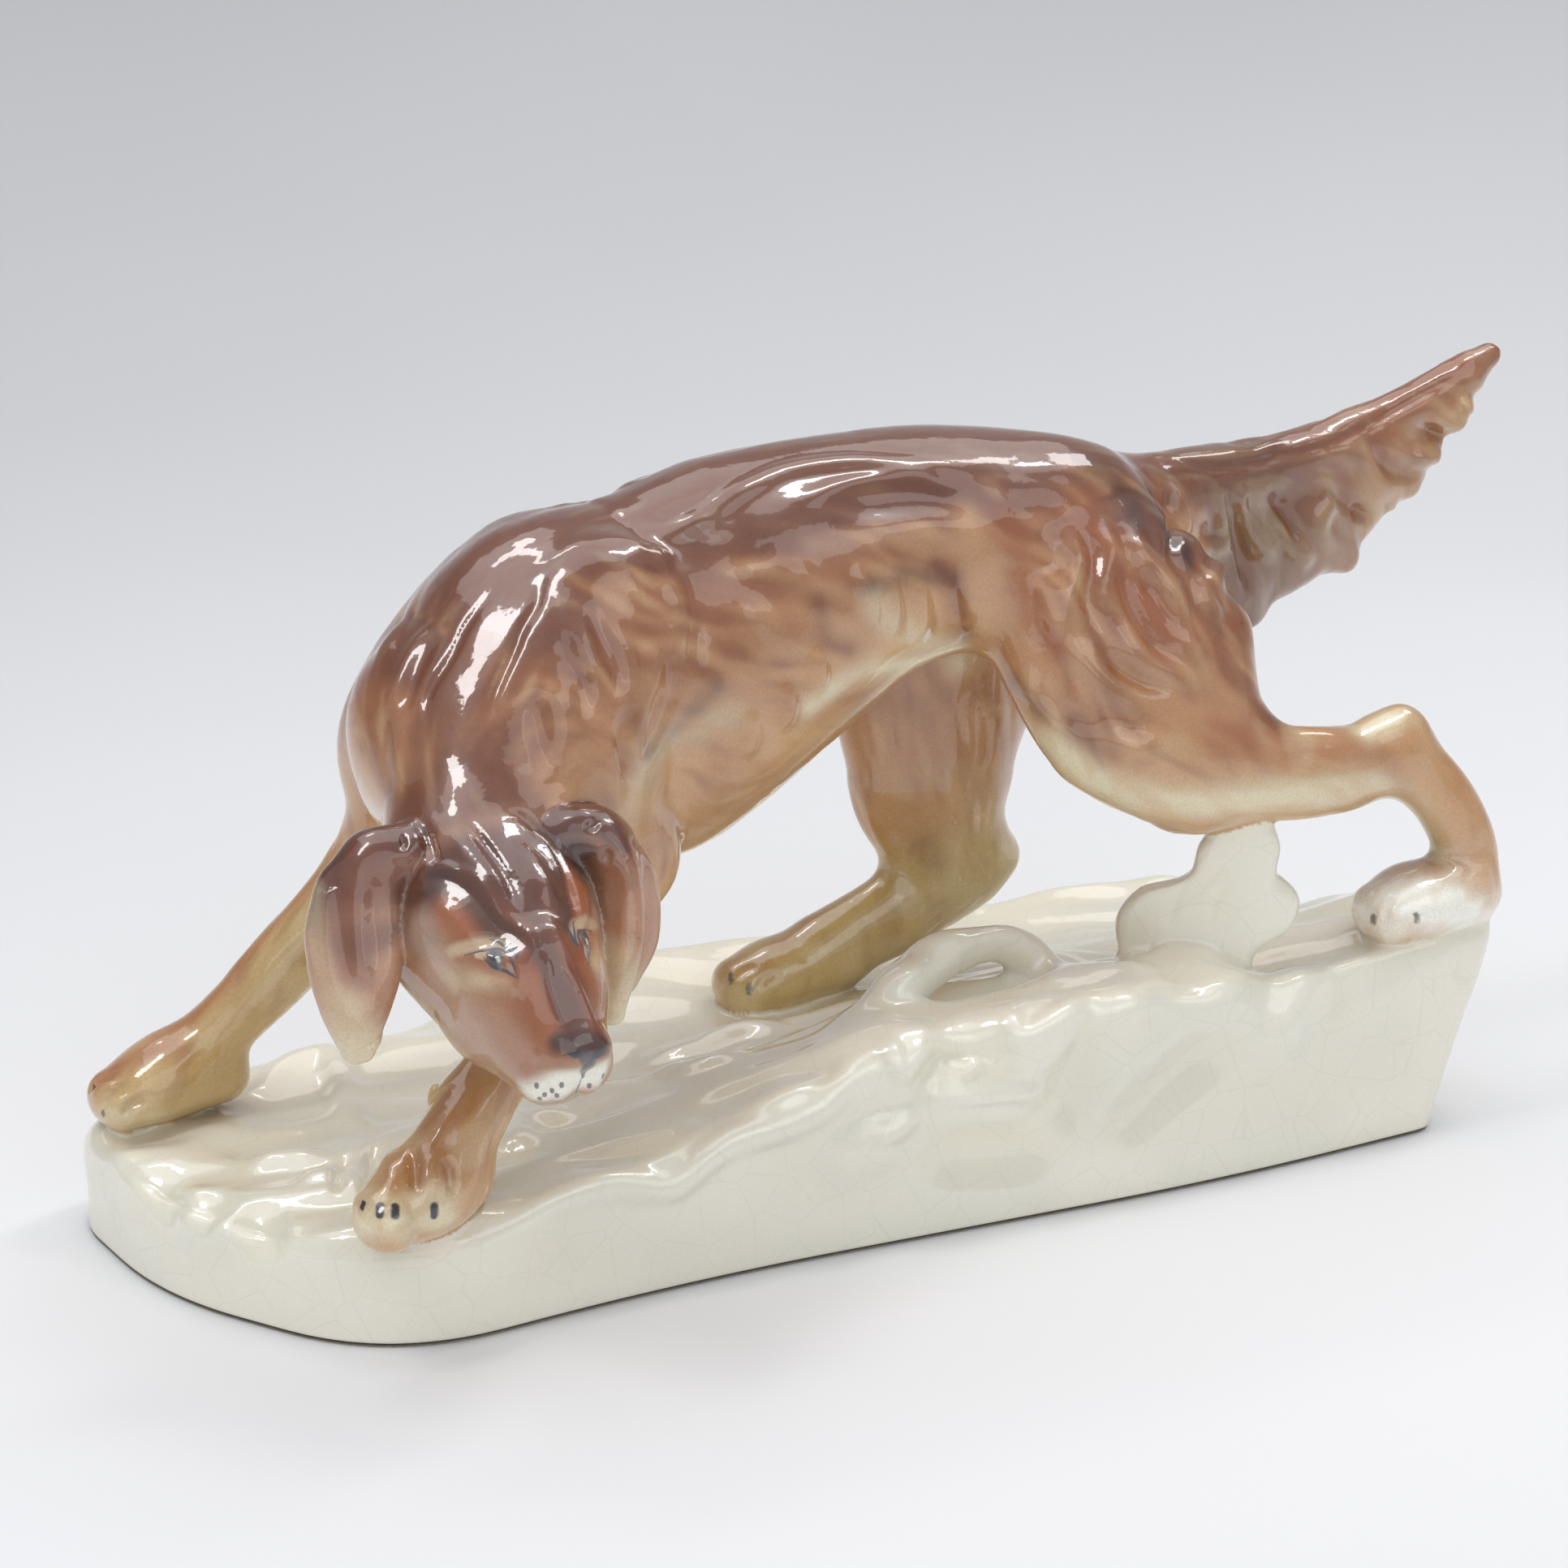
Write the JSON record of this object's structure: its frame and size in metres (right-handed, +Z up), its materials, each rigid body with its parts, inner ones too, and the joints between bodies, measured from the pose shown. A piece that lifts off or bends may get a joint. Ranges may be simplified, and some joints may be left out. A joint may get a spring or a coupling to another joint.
{
  "type": "porcelain dog figurine",
  "caption": "Glazed porcelain figurine of a long-haired setter stalking with lowered, turned head and raised tail, on a hollow rocky plinth with a root and a leaf.",
  "frame": {"origin": "on the table, under the middle of the whole figurine's bounding box", "axes": "+Z up; the dog's body runs along X and faces -X, its left side and the high rim of the plinth are towards -Y"},
  "size_m": [0.3726, 0.159, 0.1794],
  "materials": {
    "ivory_glaze": "clear gloss glaze over white porcelain",
    "brown_glaze": "clear gloss glaze over airbrushed brown",
    "dark_brown_glaze": "clear gloss glaze over dark brown",
    "pale_brown_glaze": "clear gloss glaze over pale brown"
  },
  "bodies": {
    "root": {"base": "ivory_glaze", "torso": "brown_glaze", "head": "dark_brown_glaze", "right_ear": "brown_glaze", "left_ear": "brown_glaze", "left_foreleg": "pale_brown_glaze", "right_foreleg": "pale_brown_glaze", "left_hind_leg": "pale_brown_glaze", "right_hind_leg": "pale_brown_glaze", "tail": "brown_glaze", "root_arch": "ivory_glaze", "leaf_prop": "ivory_glaze", "ground_leaf": "ivory_glaze"}
  },
  "joints": []
}
